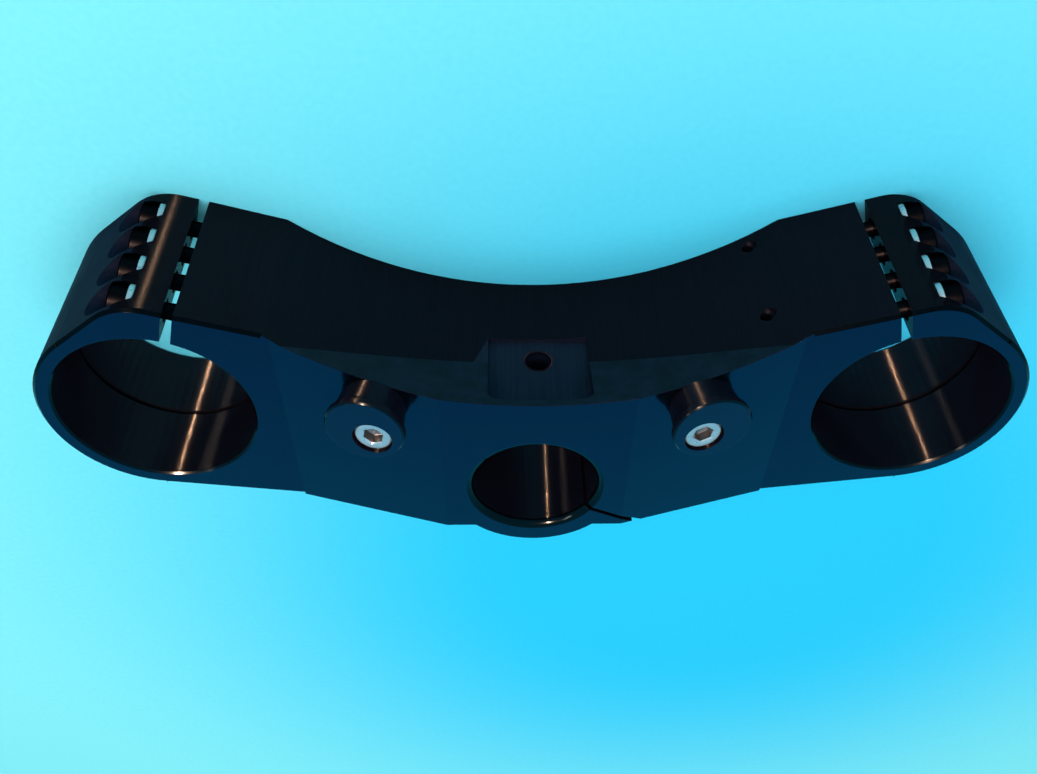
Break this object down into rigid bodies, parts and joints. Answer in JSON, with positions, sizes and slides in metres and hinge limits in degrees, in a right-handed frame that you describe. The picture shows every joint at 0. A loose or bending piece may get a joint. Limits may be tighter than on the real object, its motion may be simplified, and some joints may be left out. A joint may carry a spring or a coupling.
{
  "type": "motorcycle triple clamp",
  "caption": "Lower fork yoke with two split fork bores, a split stem bore, a concave front wall and two flanged steering stops.",
  "frame": {"origin": "axis of the stem bore, in the plane of the flat underside", "axes": "+Z along the stem bore towards the face with the steering stops, -Y towards the front of the machine, +X towards the left fork leg"},
  "size_m": [0.2734, 0.09, 0.0646],
  "materials": {
    "black_anodised_aluminium": "gloss black anodised",
    "black_stop_aluminium": "gloss black anodised",
    "zinc_plated_steel": "bright zinc"
  },
  "bodies": {
    "root": {"yoke_body": "black_anodised_aluminium", "pinch_screw_left_1": "zinc_plated_steel", "pinch_screw_left_2": "zinc_plated_steel", "pinch_screw_left_3": "zinc_plated_steel", "pinch_screw_left_4": "zinc_plated_steel", "pinch_screw_right_1": "zinc_plated_steel", "pinch_screw_right_2": "zinc_plated_steel", "pinch_screw_right_3": "zinc_plated_steel", "pinch_screw_right_4": "zinc_plated_steel", "steering_stop_left": "black_stop_aluminium", "steering_stop_right": "black_stop_aluminium", "stop_screw_left": "zinc_plated_steel", "stop_screw_right": "zinc_plated_steel", "stem_pinch_screw_1": "zinc_plated_steel", "stem_pinch_screw_2": "zinc_plated_steel"}
  },
  "joints": []
}
